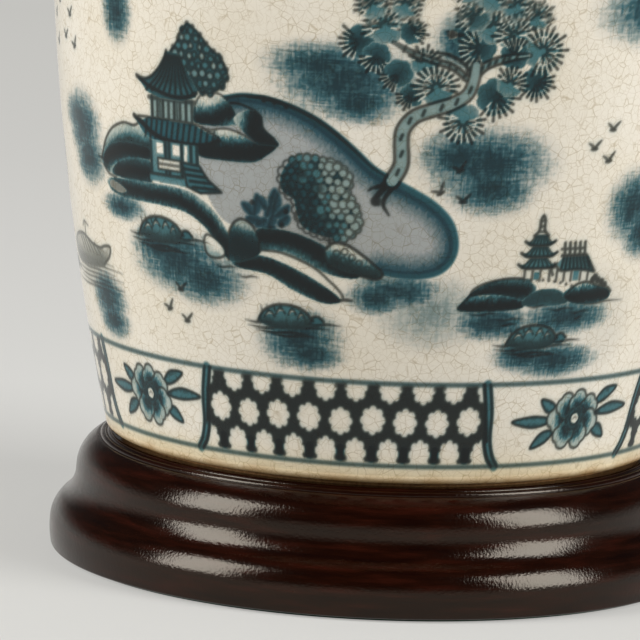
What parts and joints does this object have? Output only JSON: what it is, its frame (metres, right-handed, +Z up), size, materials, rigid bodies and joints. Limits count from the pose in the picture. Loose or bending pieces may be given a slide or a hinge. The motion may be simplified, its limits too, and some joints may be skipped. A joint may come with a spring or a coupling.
{
  "type": "ginger jar table lamp",
  "caption": "Table lamp with a crackle-glazed ginger jar painted with a blue-green landscape, on a turned dark wood base, under a tapered linen shade on a harp.",
  "frame": {"origin": "on the lamp's axis, at the underside of the felt that it stands on", "axes": "+Z up along the lamp's axis, -Y to the front of the lamp, +X to the right; the harp lies in the XZ plane"},
  "size_m": [0.4023, 0.4024, 0.6306],
  "materials": {
    "felt": "pressed wool felt",
    "varnished_wood": "turned wood, very dark mahogany stain under high gloss varnish",
    "cast_iron": "as cast",
    "steel": "zinc plated",
    "black_plastic": "moulded, satin",
    "cork": "pressed cork",
    "crackle_glaze": "cream crackle glaze painted under the glaze in blue-green",
    "rubber": "matt",
    "brass": "polished and lacquered",
    "insulating_paper": "varnished fibre",
    "aluminium": "spun",
    "bulb_glass": "frosted inside",
    "solder": "solder",
    "shade_linen": "off-white linen weave",
    "shade_backing": "white styrene",
    "shade_trim": "folded linen tape",
    "shade_wire": "white coated wire"
  },
  "bodies": {
    "root": {"base_felt": "felt", "base_plinth": "varnished_wood", "base_weight": "cast_iron", "bottom_nut": "steel", "bottom_washer": "steel", "brass_cap": "brass", "brass_neck": "brass", "centre_contact": "brass", "cord_bushing": "black_plastic", "harp": "brass", "harp_saddle": "brass", "harp_top_stud": "brass", "jar_body": "crackle_glaze", "jar_bottom_bushing": "rubber", "jar_lid": "crackle_glaze", "jar_seat_pad": "cork", "neck_nut": "brass", "socket_cap": "brass", "socket_insulator": "insulating_paper", "socket_interior": "black_plastic", "socket_screw_shell": "aluminium", "socket_shell": "brass", "terminal_screws": "brass", "threaded_rod": "steel"},
    "switch_key": {"switch_knob": "black_plastic"},
    "ferrule_left": {"ferrule_left": "brass"},
    "ferrule_right": {"ferrule_right": "brass"},
    "shade": {"shade_fabric": "shade_linen", "shade_liner": "shade_backing", "shade_top_trim": "shade_trim", "shade_bottom_trim": "shade_trim", "shade_spider": "shade_wire", "shade_bottom_ring": "shade_wire"},
    "finial": {"finial": "brass"},
    "bulb": {"bulb_glass": "bulb_glass", "bulb_cap": "aluminium", "bulb_contact": "solder"}
  },
  "joints": [
    {"name": "switch_key_turn", "type": "hinge", "parent": "root", "child": "switch_key", "pos_m": [0, -0.0267, 0.40401], "axis": [0, -1, 0], "continuous": true},
    {"name": "ferrule_left_lift", "type": "slide", "parent": "root", "child": "ferrule_left", "axis": [0, 0, 1], "range_m": [0, 0.012]},
    {"name": "ferrule_right_lift", "type": "slide", "parent": "root", "child": "ferrule_right", "axis": [0, 0, 1], "range_m": [0, 0.012]},
    {"name": "shade_swivel", "type": "hinge", "parent": "root", "child": "shade", "pos_m": [0, 0, 0.5979], "axis": [0, 0, 1], "continuous": true},
    {"name": "finial_turn", "type": "hinge", "parent": "root", "child": "finial", "pos_m": [0, 0, 0.605], "axis": [0, 0, 1], "continuous": true},
    {"name": "bulb_turn", "type": "hinge", "parent": "root", "child": "bulb", "pos_m": [0, 0, 0.43], "axis": [0, 0, 1], "continuous": true}
  ]
}
